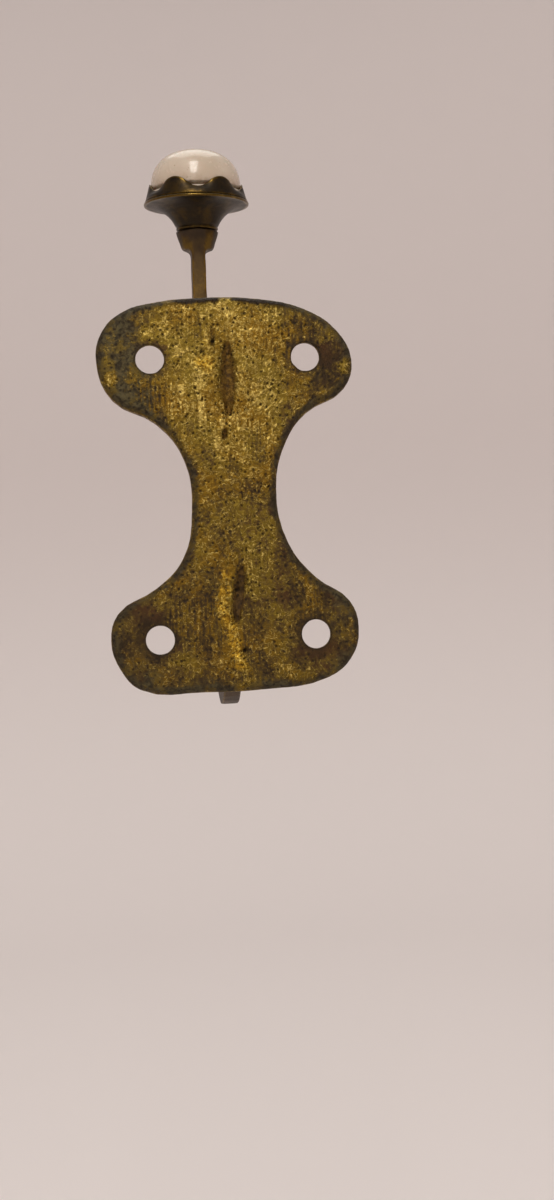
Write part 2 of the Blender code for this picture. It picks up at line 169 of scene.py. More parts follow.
class Shader:
    """A small helper that adds nodes to one material and links them."""

    def __init__(self, name):
        self.material = bpy.data.materials.new(name)
        self.material.use_nodes = True
        self.tree = self.material.node_tree
        self.surface = self.tree.nodes["Principled BSDF"]
        coords = self.add("ShaderNodeTexCoord")
        scaled = self.add("ShaderNodeVectorMath", operation="SCALE")
        scaled.inputs["Scale"].default_value = 1000.0
        self.link(coords.outputs["Object"], scaled.inputs[0])
        self.mm = scaled.outputs[0]

    def add(self, kind, **settings):
        node = self.tree.nodes.new(kind)
        for key, value in settings.items():
            setattr(node, key, value)
        return node

    def link(self, source, target):
        self.tree.links.new(source, target)

    def put(self, value, socket):
        """Links an output to a socket, or sets the socket's own number or colour."""
        if isinstance(value, bpy.types.NodeSocket):
            self.link(value, socket)
        else:
            socket.default_value = value

    def noise(self, size, detail=3.0, rough=0.55, vector=None, distortion=0.0):
        """Noise whose features are about this many millimetres across."""
        node = self.add("ShaderNodeTexNoise")
        self.link(vector or self.mm, node.inputs["Vector"])
        node.inputs["Scale"].default_value = 1.0 / size
        node.inputs["Detail"].default_value = detail
        node.inputs["Roughness"].default_value = rough
        node.inputs["Distortion"].default_value = distortion
        return node.outputs["Fac"]

    def stretched(self, x, y, z):
        """Coordinates in millimetres, scaled along each axis, for marks that run one way."""
        node = self.add("ShaderNodeVectorMath", operation="MULTIPLY")
        self.link(self.mm, node.inputs[0])
        node.inputs[1].default_value = (x, y, z)
        return node.outputs[0]

    def cells(self, size, feature="F1"):
        """Distance from the middles, or from the borders, of cells about this many mm across."""
        node = self.add("ShaderNodeTexVoronoi", feature=feature)
        self.link(self.mm, node.inputs["Vector"])
        node.inputs["Scale"].default_value = 1.0 / size
        node.inputs["Randomness"].default_value = 1.0
        return node.outputs["Distance"]

    def math(self, operation, a, b=0.0, clamp=False):
        node = self.add("ShaderNodeMath", operation=operation, use_clamp=clamp)
        self.put(a, node.inputs[0])
        self.put(b, node.inputs[1])
        return node.outputs[0]

    def total(self, *terms):
        """The sum of (output, weight) pairs."""
        parts = [self.math("MULTIPLY", value, weight) for value, weight in terms]
        result = parts[0]
        for part in parts[1:]:
            result = self.math("ADD", result, part)
        return result

    def ramp(self, value, low, high, to_low=0.0, to_high=1.0):
        """The value's stretch from low to high, smoothed, as to_low to to_high."""
        node = self.add("ShaderNodeMapRange", interpolation_type="SMOOTHSTEP")
        self.put(value, node.inputs["Value"])
        node.inputs["From Min"].default_value = low
        node.inputs["From Max"].default_value = high
        node.inputs["To Min"].default_value = to_low
        node.inputs["To Max"].default_value = to_high
        return node.outputs["Result"]

    def mix(self, factor, a, b):
        node = self.add("ShaderNodeMix", data_type="RGBA")
        self.put(factor, node.inputs[0])
        self.put(a if isinstance(a, bpy.types.NodeSocket) else (*a, 1.0), node.inputs[6])
        self.put(b if isinstance(b, bpy.types.NodeSocket) else (*b, 1.0), node.inputs[7])
        return node.outputs[2]

    def attribute(self, name):
        return self.add("ShaderNodeAttribute", attribute_name=name).outputs["Fac"]

    def bump(self, height, depth):
        """A normal from a height, where 1 stands for this many millimetres."""
        node = self.add("ShaderNodeBump")
        node.inputs["Distance"].default_value = depth * MM
        node.inputs["Strength"].default_value = 1.0
        self.link(height, node.inputs["Height"])
        return node.outputs["Normal"]

    def finish(self, **sockets):
        names = {
            "colour": "Base Color", "rough": "Roughness", "metal": "Metallic", "normal": "Normal",
            "coat": "Coat Weight", "coat_rough": "Coat Roughness",
            "subsurface": "Subsurface Weight", "specular": "Specular IOR Level",
        }
        for key, value in sockets.items():
            self.put(value, self.surface.inputs[names[key]])
        return self.material


# ---------------------------------------------------------------- materials

def plate_brass():
    """As-cast brass: brown pits and gold grains, bright where it is rubbed, with painted glints on
    hair-like lines and on the most rubbed grains, grey-green on the lobes and edges, and satin on
    the front. The attributes are worked out on the mesh by make_plate."""
    s = Shader("plate_brass")
    gold_zone, dark_zone = s.attribute("gold"), s.attribute("dark")
    grey_zone, line_zone = s.attribute("grey"), s.attribute("lines")
    copper_zone, groove_zone = s.attribute("copper"), s.attribute("groove")
    front, black = s.attribute("front"), s.attribute("black")
    grain = s.noise(0.42, detail=3.0, rough=0.6)
    specks = s.noise(0.9, detail=2.5, rough=0.6, distortion=0.5)
    blotches = s.noise(3.4, detail=4.0, rough=0.6)
    broad = s.noise(9.0, detail=2.0)
    upright = s.noise(0.34, detail=1.5, vector=s.stretched(1.0, 1.0, 0.08))
    curls = s.noise(1.25, detail=2.5, rough=0.55, distortion=1.2)
    hairs = s.ramp(s.math("ABSOLUTE", s.math("SUBTRACT", curls, 0.5)), 0.028, 0.0)
    lines = s.math("MULTIPLY", s.math("SUBTRACT", upright, 0.5), line_zone)

    # How much of the tarnish is rubbed off
    rub = s.total(
        (grain, 0.70), (specks, 0.60), (lines, 0.75), (blotches, 0.60), (gold_zone, 0.42),
        (dark_zone, -0.28),
    )
    bare = s.ramp(rub, 0.80, 1.36)
    # Painted glints: bright gold painted on the hair-like lines and on the most rubbed grains
    painted_glints = s.math("MULTIPLY", hairs, s.ramp(rub, 0.88, 1.30))
    painted_glints = s.math("MAXIMUM", painted_glints, s.ramp(rub, 1.34, 1.62))

    # Tarnish, brass and the coppery seam, each with the painted glints
    olive = s.mix(s.ramp(blotches, 0.40, 0.62), (0.024, 0.012, 0.002), (0.046, 0.026, 0.004))
    rust = s.mix(s.ramp(broad, 0.47, 0.66), olive, (0.056, 0.023, 0.004))
    brass = s.mix(s.ramp(broad, 0.38, 0.62), (0.170, 0.093, 0.009), (0.160, 0.106, 0.014))
    colour = s.mix(bare, rust, brass)
    colour = s.mix(painted_glints, colour, (0.520, 0.375, 0.100))
    seam_grain = s.ramp(s.math("ADD", grain, specks), 0.85, 1.08)
    copper = s.mix(seam_grain, (0.120, 0.058, 0.005), (0.360, 0.205, 0.016))
    copper = s.mix(painted_glints, copper, (0.680, 0.480, 0.090))
    colour = s.mix(s.math("MULTIPLY", copper_zone, bare), colour, copper)

    # Grey-green film, brown grooves and pits
    grey = s.mix(s.ramp(specks, 0.38, 0.60), (0.028, 0.020, 0.007), (0.084, 0.067, 0.027))
    grey_amount = s.math("MULTIPLY", grey_zone, s.ramp(rub, 1.30, 0.90), clamp=True)
    grey = s.mix(s.ramp(blotches, 0.50, 0.58), grey, (0.120, 0.080, 0.012))
    colour = s.mix(grey_amount, colour, grey)
    brown = s.mix(s.ramp(specks, 0.38, 0.62), (0.044, 0.021, 0.005), (0.130, 0.070, 0.013))
    colour = s.mix(groove_zone, colour, brown)
    pits = s.ramp(s.cells(0.80), 0.14, 0.40)
    pitted = s.math("MULTIPLY", s.math("SUBTRACT", 1.0, pits), s.ramp(grain, 0.66, 0.46))
    colour = s.mix(s.math("MULTIPLY", pitted, 0.9), colour, (0.014, 0.007, 0.001))

    # The smoother front
    tarnish = s.mix(s.ramp(blotches, 0.40, 0.62), (0.085, 0.046, 0.009), (0.125, 0.074, 0.014))
    polish = s.ramp(s.math("ADD", broad, s.math("MULTIPLY", grain, 0.2)), 0.50, 0.72)
    satin = s.mix(polish, tarnish, (0.270, 0.165, 0.030))
    colour = s.mix(front, colour, satin)
    colour = s.mix(black, colour, (0.018, 0.010, 0.004))

    metal = s.ramp(bare, 0.0, 1.0, 0.25, 0.85)
    metal = s.math("MAXIMUM", metal, s.math("MULTIPLY", front, 0.85))
    rough = s.ramp(rub, 0.80, 1.5, 0.62, 0.38)
    rough = s.math("SUBTRACT", rough, s.math("MULTIPLY", front, 0.12))
    height = s.total((grain, 0.8), (specks, 0.6), (pits, 0.25), (hairs, 0.20), (lines, 0.5))
    smoother = s.math("SUBTRACT", 1.0, s.math("MULTIPLY", front, 0.75))
    height = s.math("MULTIPLY", height, smoother)
    normal = s.bump(height, 0.19)
    return s.finish(colour=colour, metal=metal, rough=rough, normal=normal, specular=0.25)


def arm_brass():
    """Satin aged brass: brown tarnish over gold, rubbed bright along its edges, and with painted
    shade under the knob and at the bottom of the coat hook."""
    s = Shader("arm_brass")
    edge, root, painted_shade = s.attribute("edge"), s.attribute("root"), s.attribute("painted_shade")
    grain = s.noise(0.40, detail=3.0, rough=0.6)
    cloud = s.noise(4.5, detail=4.0, rough=0.62)
    broad = s.noise(14.0, detail=2.0)
    file_marks = s.noise(0.28, detail=1.5, vector=s.stretched(1.0, 0.12, 0.9))
    wear = s.total((edge, 0.50), (cloud, 0.9), (grain, 0.35), (root, -0.35), (painted_shade, -0.25))
    bare = s.ramp(wear, 0.50, 0.88)
    tarnish = s.mix(s.ramp(broad, 0.42, 0.60), (0.085, 0.044, 0.009), (0.110, 0.064, 0.013))
    brass = s.mix(s.ramp(cloud, 0.40, 0.62), (0.215, 0.118, 0.022), (0.270, 0.165, 0.034))
    colour = s.mix(bare, tarnish, brass)
    colour = s.mix(s.ramp(wear, 1.00, 1.28), colour, (0.480, 0.330, 0.100))
    spots = s.ramp(s.noise(0.9, detail=2.0, distortion=0.4), 0.66, 0.72)
    colour = s.mix(spots, colour, (0.040, 0.020, 0.008))
    # Painted shade: near-black brown under the knob and at the bottom of the coat hook
    painted_shade_amount = s.math("MULTIPLY", painted_shade, s.ramp(cloud, 0.36, 0.60, 0.98, 0.60))
    colour = s.mix(painted_shade_amount, colour, (0.030, 0.017, 0.007))
    height = s.total((grain, 0.7), (file_marks, 0.5), (spots, -0.4))
    rough = s.ramp(wear, 0.4, 1.1, 0.54, 0.30)
    metal = s.ramp(bare, 0.0, 1.0, 0.60, 1.0)
    return s.finish(colour=colour, metal=metal, rough=rough, normal=s.bump(height, 0.06))


def knob_brass():
    """Aged brass, turned or pressed, painted near black for the shade the knob stands in, a little
    brighter on its rim and petal edges.
    """
    s = Shader("knob_brass")
    edge = s.attribute("edge")
    grain = s.noise(0.35, detail=3.0, rough=0.6)
    cloud = s.noise(2.6, detail=4.0, rough=0.62)
    wear = s.total((edge, 0.50), (cloud, 0.8), (grain, 0.30))
    # Painted shade: the brass is painted near black for the shade in and under the knob
    dark = s.mix(s.ramp(cloud, 0.42, 0.60), (0.018, 0.011, 0.004), (0.040, 0.024, 0.007))
    colour = s.mix(s.ramp(wear, 0.58, 0.98), dark, (0.105, 0.064, 0.015))
    colour = s.mix(s.ramp(wear, 1.05, 1.35), colour, (0.330, 0.230, 0.080))
    rough = s.ramp(wear, 0.4, 1.1, 0.44, 0.24)
    metal = s.ramp(wear, 0.4, 0.9, 0.75, 1.0)
    return s.finish(colour=colour, metal=metal, rough=rough, normal=s.bump(grain, 0.04))


def porcelain():
    """Warm white glaze with faint crazing, a few specks of old dirt, and painted shade and brown
    reflection of the petals near the bezel.
    """
    s = Shader("porcelain")
    broad = s.noise(7.0, detail=3.0)
    fine = s.noise(1.2, detail=3.0)
    crazing = s.ramp(s.cells(3.4, feature="DISTANCE_TO_EDGE"), 0.0, 0.022)
    seams = s.math("MULTIPLY", s.math("SUBTRACT", 1.0, crazing), s.ramp(broad, 0.45, 0.62))
    foot = s.attribute("foot")
    colour = s.mix(s.ramp(broad, 0.35, 0.65), (0.500, 0.410, 0.315), (0.560, 0.470, 0.375))
    # Painted shade and brown reflection of the brass petals on the glaze near the bezel
    stain_and_shade = s.math("MULTIPLY", foot, s.ramp(fine, 0.30, 0.70))
    colour = s.mix(s.math("MULTIPLY", stain_and_shade, 0.8), colour, (0.300, 0.215, 0.135))
    colour = s.mix(s.math("MULTIPLY", seams, 0.30), colour, (0.380, 0.300, 0.220))
    specks = s.ramp(s.noise(0.55, detail=1.0), 0.70, 0.76)
    colour = s.mix(s.math("MULTIPLY", specks, 0.6), colour, (0.300, 0.220, 0.150))
    height = s.math("ADD", broad, s.math("MULTIPLY", crazing, 0.03))
    rough = s.ramp(fine, 0.3, 0.7, 0.20, 0.28)
    return s.finish(
        colour=colour, rough=rough, normal=s.bump(height, 0.10), coat=0.35, coat_rough=0.06,
        subsurface=0.05,
    )


def steel():
    """Plain steel with turning marks round the stud and a little rust."""
    s = Shader("steel")
    rings = s.noise(0.25, detail=1.0, vector=s.stretched(0.1, 0.1, 1.0))
    rust = s.ramp(s.noise(1.4, detail=4.0), 0.52, 0.66)
    colour = s.mix(rust, (0.420, 0.400, 0.370), (0.190, 0.090, 0.040))
    rough = s.ramp(rust, 0.0, 1.0, 0.34, 0.75)
    metal = s.ramp(rust, 0.0, 1.0, 1.0, 0.3)
    return s.finish(colour=colour, metal=metal, rough=rough, normal=s.bump(rings, 0.04))


def plaster():
    """Matt, crumbly plaster of the knob's bed."""
    s = Shader("plaster")
    crumbs = s.noise(0.5, detail=4.0, rough=0.65)
    colour = s.mix(s.ramp(crumbs, 0.35, 0.65), (0.560, 0.490, 0.390), (0.700, 0.640, 0.540))
    return s.finish(colour=colour, rough=0.92, normal=s.bump(crumbs, 0.12))


def pale_paper():
    """The stage's matt surface, paler on the floor than up the wall."""
    s = Shader("pale_stage")
    spread = s.add("ShaderNodeSeparateXYZ")
    s.link(s.mm, spread.inputs[0])
    rise = s.ramp(spread.outputs[2], FLOOR_Z / MM, 250.0)
    colour = s.mix(rise, (0.860, 0.812, 0.800), (0.720, 0.660, 0.648))
    return s.finish(colour=colour, rough=0.9)


# ---------------------------------------------------------------- meshes

def add_piece(name, mesh):
    obj = bpy.data.objects.new(name, mesh)
    bpy.context.scene.collection.objects.link(obj)
    return obj


def apply_modifiers(obj):
    graph = bpy.context.evaluated_depsgraph_get()
    mesh = bpy.data.meshes.new_from_object(obj.evaluated_get(graph))
    obj.modifiers.clear()
    obj.data = mesh
    return obj


def dense_copy(node, name, voxel, smooth_steps, extra_boxes=()):
    """A finely divided copy of a CAD node with its sharp edges softened, as a casting's are."""
    bm = bmesh.new()
    bm.from_mesh(frame["nodes"][node].data)
    bmesh.ops.remove_doubles(bm, verts=bm.verts, dist=0.000001)
    for low, high in extra_boxes:
        size = Matrix.Diagonal((*(high - low), 1))
        bmesh.ops.create_cube(bm, size=1, matrix=Matrix.Translation((low + high) / 2) @ size)
    mesh = bpy.data.meshes.new(name)
    bm.to_mesh(mesh)
    bm.free()
    obj = add_piece(name, mesh)
    remesh = obj.modifiers.new("divide", "REMESH")
    remesh.mode = "VOXEL"
    remesh.voxel_size = voxel
    soften = obj.modifiers.new("soften", "SMOOTH")
    soften.factor = 0.5
    soften.iterations = smooth_steps
    return apply_modifiers(obj)


def read_mesh(mesh):
    """Positions in millimetres and normals, one row for each vertex."""
    count = len(mesh.vertices)
    at = np.empty(count * 3)
    facing = np.empty(count * 3)
    mesh.vertices.foreach_get("co", at)
    mesh.vertex_normals.foreach_get("vector", facing)
    return at.reshape(-1, 3) / MM, facing.reshape(-1, 3)


def write_mesh(mesh, at):
    mesh.vertices.foreach_set("co", (at * MM).ravel())
    mesh.update()
    mesh.shade_smooth()


def store(mesh, name, values):
    layer = mesh.attributes.new(name, "FLOAT", "POINT")
    layer.data.foreach_set("value", np.clip(values, 0.0, 1.0).astype(np.float32))


def noise_at(at, size, seed=0.0):
    """Smooth noise from about -1 to 1, with features about this many millimetres across."""
    shift = Vector((seed * 17.3, seed * 5.1, seed * 9.7))
    return np.array([noise.noise(Vector(p) / size + shift) for p in at])


def step(values, low, high):
    t = np.clip((values - low) / (high - low), 0.0, 1.0)
    return t * t * (3 - 2 * t)


def along(path, x, z):
    """How deep each point lies in a stroke along a path: 1 on its middle line, 0 at its edge."""
    best = np.zeros_like(x)
    for (x0, z0, w0), (x1, z1, w1) in zip(path, path[1:]):
        length = (x1 - x0) ** 2 + (z1 - z0) ** 2
        t = np.clip(((x - x0) * (x1 - x0) + (z - z0) * (z1 - z0)) / length, 0.0, 1.0)
        apart = np.hypot(x - x0 - t * (x1 - x0), z - z0 - t * (z1 - z0))
        best = np.maximum(best, 1.0 - apart / (w0 + t * (w1 - w0)))
    return best


def hole_distance(at):
    """Distance in the plate's plane from each vertex to the nearest screw hole's wall."""
    return np.hypot(np.abs(at[:, 0]) - HOLE_X, np.abs(at[:, 2]) - HOLE_Z) - HOLE_R


def patches(places, x, z, ragged):
    """1 inside each of a list of (x, z, radius) patches with ragged edges, and 0 outside them."""
    cover = np.zeros_like(x)
    for px, pz, size in places:
        cover = np.maximum(cover, 1 - step(np.hypot(x - px, z - pz) + ragged, 0.3 * size, size))
    return cover


def rim_distance(at, facing):
    """Distance in the plate's plane from each vertex to the plate's outer wall."""
    outer = (np.abs(at[:, 0]) > SLOT_HALF_WIDE + 0.3) & (hole_distance(at) > HOLE_WALLS)
    walls = at[(np.abs(facing[:, 1]) < 0.45) & outer]
    tree = kdtree.KDTree(len(walls))
    for i, p in enumerate(walls):
        tree.insert((p[0], 0.0, p[2]), i)
    tree.balance()
    return np.array([tree.find((p[0], 0.0, p[2]))[2] for p in at])


def back_relief(at, facing):
    """Height in millimetres of the marks on the plate's back, and how strong each zone is."""
    x, z = at[:, 0], at[:, 2]
    back = step(facing[:, 1], 0.3, 0.8)
    wander = noise_at(at, 1.6, 3.0)
    groove = sum(step(along(p, x + 0.25 * wander, z), -0.1, 0.9) for p in GROOVES.values())
    ridge = sum(step(along(p, x + 0.45 * wander, z), -0.2, 0.8) for p in RIDGES.values())
    pore = sum(step(1.0 - np.hypot(x - px, z - pz) / size, 0.0, 0.7) for px, pz, size in PORES)
    lumps = noise_at(at, 0.75, 5.0)
    height = -GROOVE_DEEP * groove + ridge * (RIDGE_TALL + RIDGE_LUMPS * lumps) * (1 - groove)
    height -= PORE_DEEP * pore
    return height * back, np.clip(groove, 0, 1) * back, np.clip(ridge, 0, 1) * back, pore * back


def peened_blocks():
    """Blocks that close the plate's two slots at the back, where the arm's tenons are hammered
    out until they fill them."""
    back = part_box("back_plate")[1].y
    wide = (SLOT_HALF_WIDE + 0.3) * MM
    tall = (SLOT_HALF_TALL + 0.3) * MM
    blocks = []
    for z in TENON_Z:
        low = Vector((-wide, back - PEENED_DEEP * MM, z * MM - tall))
        high = Vector((wide, back, z * MM + tall))
        blocks.append((low, high))
    return blocks


def make_plate():
    """The cast plate, and how strong each zone of its finish is at each vertex."""
    obj = dense_copy("back_plate", "back_plate_cast", PLATE_VOXEL, 3, peened_blocks())
    at, facing = read_mesh(obj.data)
    x, z = at[:, 0], at[:, 2]
    height, groove, ridge, pore = back_relief(at, facing)
    rim = rim_distance(at, facing)
    back = step(facing[:, 1], 0.3, 0.8)
    blot = noise_at(at, 4.0, 1.0)
    small = noise_at(at, 1.3, 2.0)
    grit = noise_at(at, 0.6, 4.0)
    rough_amount = 0.35 + 0.65 * back
    height += rough_amount * (0.045 * grit + 0.035 * small + 0.05 * blot)
    height += 0.10 * noise_at(at, 14.0, 6.0) - 0.08
    write_mesh(obj.data, at + facing * height[:, None])

    # Gold is rubbed metal: the ridges, the middle, mostly above the waist, the plate's sides and
    # specks along its rim
    middle = 1 - step(np.abs(x), 5.0, 12.0)
    waist = 1 - step(np.abs(z), 4.0, 12.0)
    gold = (0.04 + 0.22 * step(z, -4.0, 8.0)) * middle * back * (1 - 0.7 * waist)
    gold += 1.2 * ridge + 0.45 * blot * back + 0.35 * (1 - back)
    gold += 0.25 * step(z, 6.0, 14.0) * middle * back
    gold += 0.25 * step(rim, 5.0, 1.0) * step(small, 0.2, 0.6)

    # Dark is tarnish, grey is the film on the lobes and edges, and black is dirt in the pores and
    # the
    #     lower groove; black also runs along the outer edge and round the hole rims, most along the
    #     top edge
    hole = hole_distance(at)
    edge = back * (1 - step(rim + 0.35 * small, 0.5, 1.5))
    ring = back * (1 - step(hole + 0.15 * small, 0.15, 0.55))
    halo = back * (1 - step(hole + 0.6 * blot, 0.6, 1.9))
    outer_left = step(x + 0.9 * blot - 0.25 * (z - 21), 11.5, 15.0) * step(z, 8.0, 14.0)
    ends = step(np.abs(z + 0.8 * blot), 27.0, 29.5)
    corners = step(np.abs(x) + 1.5 * blot, 10.0, 17.0)
    dark = 0.9 * edge + 0.5 * groove + 1.3 * pore + 0.5 * corners * back + 0.7 * halo
    dark += 0.25 * step(-z, 4.0, 14.0) * back
    copper = patches(COPPERY, x, z, 0.6 * small)
    ragged = 0.9 * small + 0.5 * grit
    stain_and_shade, lichen, yellow = (patches(p, x, z, ragged) * back for p in (STAINS, LICHEN, YELLOW))
    dark += 0.9 * stain_and_shade + 0.3 * lichen - 0.6 * yellow
    gold += 0.5 * yellow
    grey = 0.95 * outer_left + 0.75 * edge + 0.55 * ends + 0.35 * corners * step(blot, -0.1, 0.4)
    grey = (grey + 0.6 * lichen) * (1 - 0.8 * yellow) * back
    brow = step(z + 0.5 * blot, 26.5, 28.5) * (1 - step(np.abs(x + 1.0), 7.0, 11.0))
    black = pore + (0.42 + 0.4 * small) * groove * step(-z, 5.0, 9.0) + 0.75 * ring
    black += 0.55 * edge * (0.7 + 0.6 * small)
    black += 0.8 * edge * brow
    stripes = step(noise_at(at, 9.0, 8.0), -0.15, 0.25) * back
    store(obj.data, "front", step(-facing[:, 1], -0.2, 0.5))
    store(obj.data, "gold", gold)
    store(obj.data, "dark", dark)
    store(obj.data, "grey", grey)
    store(obj.data, "groove", 0.9 * step(groove, 0.15, 0.75))
    store(obj.data, "black", black)
    store(obj.data, "copper", copper * back)
    store(obj.data, "lines", stripes)
    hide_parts("back_plate")
    return obj


def make_arm():
    """The cast arm, with its root run up to the plate and its boss grown to meet the knob."""
    obj = dense_copy("scroll_arm", "scroll_arm_cast", ARM_VOXEL, 5)
    at, facing = read_mesh(obj.data)
    plate_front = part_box("back_plate")[0].y / MM
    root_face = (at[:, 1] < plate_front) & (at[:, 1] > plate_front - 0.5) & (facing[:, 1] > 0.6)
    at[root_face, 1] = plate_front + 0.1
    at[:, 1] = np.minimum(at[:, 1], -PEENED_DEEP - 0.1)
    out = -at[:, 1]
    scroll_low = at[:, 2].min()
    axes = np.array(knob_frame().to_3x3())
    origin = np.array(KNOB_AT) / MM
    local = (at - origin) @ axes
    around = np.hypot(local[:, 0], local[:, 1])
    boss = (local[:, 2] > -BOSS_TALL - 0.2) & (around > BOSS_BORE_R) & (around < BOSS_REACH_R)
    grow = 1 + boss * step(local[:, 2], -BOSS_TALL, 0.0) * BOSS_GROWS
    at = origin + local * np.stack((grow, grow, np.ones_like(grow)), axis=1) @ axes.T
    blot = noise_at(at, 5.0, 11.0)
    small = noise_at(at, 1.5, 12.0)
    height = 0.045 * blot + 0.02 * small - 0.03
    write_mesh(obj.data, at + facing * height[:, None])
    shoulder = obj.vertex_groups.new(name="shoulder")
    near = (np.abs(local[:, 2] + BOSS_TALL) < BOSS_SOFT_TALL) & (around < BOSS_SOFT_R)
    shoulder.add([int(i) for i in np.flatnonzero(near)], 1.0, "REPLACE")
    soften = obj.modifiers.new("soften", "SMOOTH")
    soften.vertex_group = "shoulder"
    soften.factor = 0.5
    soften.iterations = BOSS_SOFT_STEPS
    apply_modifiers(obj)
    lean = np.abs(facing[:, 0])
    edge = step(lean, 0.15, 0.45) * (1 - step(lean, 0.80, 0.97))
    # Painted shade: on the riser under the knob and along the bottom of the coat hook
    painted_shade = 0.45 * step(local[:, 2], -30.0, -12.0) + 0.55 * step(local[:, 2], -12.0, -3.0)
    painted_shade *= around < 7.0
    painted_shade = np.maximum(painted_shade, 0.9 * (1 - step(at[:, 2], scroll_low + 2.5, scroll_low + 7.0)))
    root = 1 - step(out, 3.5, 8.0)
    store(obj.data, "edge", edge * (0.75 + 0.5 * blot))
    store(obj.data, "root", root)
    store(obj.data, "painted_shade", painted_shade)
    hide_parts("scroll_arm")
    return obj


def knob_frame():
    """The knob's own frame: its Z is the axis that it turns on, from the joint's place."""
    right = Vector((1.0, 0.0, 0.0))
    forward = KNOB_AXIS.cross(right)
    axes = Matrix((right, forward, KNOB_AXIS)).transposed().to_4x4()
    return Matrix.Translation(KNOB_AT) @ axes


def knob_levels(node):
    """A CAD node's lowest and highest level along the knob's axis, and its radius, in mm."""
    mesh = frame["nodes"][node].data
    inward = knob_frame().inverted()
    points = [inward @ v.co / MM for v in mesh.vertices]
    heights = [p.z for p in points]
    return min(heights), max(heights), max(math.hypot(p.x, p.y) for p in points)


def lathe(name, profile, warp):
    """A (radius, height) profile in millimetres turned about the knob's axis. It is a closed ring
    unless both its ends are on the axis. warp(r, z, angle) places each point."""
    steps = ROUND_STEPS
    bm = bmesh.new()
    capped = profile[0][0] == 0
    inner = profile[1:-1] if capped else profile
    rings = []
    for i in range(steps):
        turn = 2 * math.pi * i / steps
        ring = []
        for r, z in inner:
            r, z = warp(r, z, turn)
            ring.append(bm.verts.new(Vector((r * math.cos(turn), r * math.sin(turn), z)) * MM))
        rings.append(ring)
    pairs = list(zip(range(len(inner) - 1), range(1, len(inner))))
    if not capped:
        pairs.append((len(inner) - 1, 0))
    for i in range(steps):
        here, there = rings[i], rings[(i + 1) % steps]
        for a, b in pairs:
            bm.faces.new((here[a], here[b], there[b], there[a]))
    if capped:
        for end, column in ((profile[0], 0), (profile[-1], -1)):
            pole = bm.verts.new(Vector((0, 0, end[1] * MM)))
            for i in range(steps):
                bm.faces.new((pole, rings[i][column], rings[(i + 1) % steps][column]))
    bmesh.ops.recalc_face_normals(bm, faces=bm.faces)
    mesh = bpy.data.meshes.new(name)
    bm.to_mesh(mesh)
    bm.free()
    mesh.shade_smooth()
    return add_piece(name, mesh)


def store_from_knob(obj, name, rule):
    """Stores rule(radius, height, angle), worked out in the knob's frame, as an attribute, and
    then moves the mesh to its place on the hook."""
    at, _ = read_mesh(obj.data)
    radius = np.hypot(at[:, 0], at[:, 1])
    store(obj.data, name, rule(radius, at[:, 2], np.arctan2(at[:, 1], at[:, 0])))
    obj.data.transform(knob_frame())


def make_base():
    """The turned base: a lip, a flare down to the neck, and a bead round its foot."""
    low, high, rim_r = knob_levels("knob_base")
    low, high = low - CLOSE_UP, high + CLOSE_UP
    rim = high - RIM_LIP
    cut = math.asin((low - rim + FLARE_DEEP) / FLARE_DEEP)
    flare = []
    steps = 30
    for i in range(steps + 1):
        a = math.pi / 2 + (cut - math.pi / 2) * i / steps
        r = rim_r - 0.05 - (rim_r - 0.05 - NECK_R) * math.cos(a)
        flare.append((r, rim - 0.25 + FLARE_DEEP * (math.sin(a) - 1)))
    foot_r = flare[-1][0]
    flare = [p for p in flare if p[1] > low + 0.95]
    lip = [
        (rim_r - 0.30, high), (rim_r - 0.08, high - 0.10), (rim_r, rim), (rim_r - 0.03, rim - 0.15),
    ]
    bead = [(foot_r + 0.06, low + 0.80), (foot_r + 0.26, low + 0.55), (foot_r + 0.28, low + 0.25)]
    profile = lip + flare + bead + [(foot_r + 0.12, low), (BORE_R, low), (BORE_R, high)]

    def turned(r, z, turn):
        if low + 0.8 < z < rim - 0.5 and r > BORE_R:
            r += 0.02 * math.sin(z * 9.0) + 0.03 * math.sin(3 * turn + 1.0)
        return r, z

    obj = lathe("knob_base_turned", profile, turned)

    def worn(radius, height, turn):
        return step(radius, rim_r - 0.9, rim_r - 0.1) + 0.5 * step(-height, -low - 0.8, -low - 0.3)

    store_from_knob(obj, "edge", worn)
    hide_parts("knob_base")
    return obj


def petal_wave(turn):
    """1 at the tip of each petal and -1 at the notch between two, with broad round tips."""
    wave = math.cos(PETALS * turn)
    return math.copysign(abs(wave) ** 0.75, wave)


